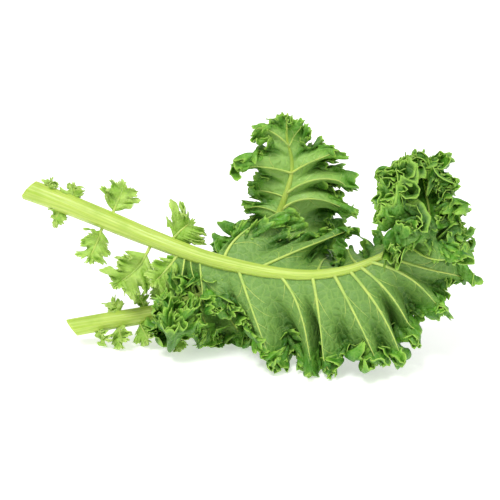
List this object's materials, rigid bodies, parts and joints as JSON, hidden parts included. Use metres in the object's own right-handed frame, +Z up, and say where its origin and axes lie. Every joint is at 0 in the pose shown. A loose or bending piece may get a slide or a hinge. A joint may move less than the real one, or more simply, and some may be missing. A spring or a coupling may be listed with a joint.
{
  "type": "curly kale bunch",
  "caption": "Small bunch of curly green kale lying on a surface: long pale cut stems, lobed blades with tightly frilled edges, and leaflets along the bare stems.",
  "frame": {"origin": "centre of the bunch's footprint, on the surface it lies on", "axes": "+Z up, +X from the cut stem ends towards the curly tips, -Y towards the side where the front leaf's underside shows"},
  "size_m": [0.3407, 0.1633, 0.1754],
  "materials": {
    "front_leaf": "soft satin leaf, paler and greyer on its underside, with pale yellow-green stem and veins",
    "back_leaf": "soft satin leaf, paler and greyer on its underside, with pale yellow-green stem and veins"
  },
  "bodies": {
    "root": {"front_leaf": "front_leaf", "back_leaf": "back_leaf"}
  },
  "joints": []
}
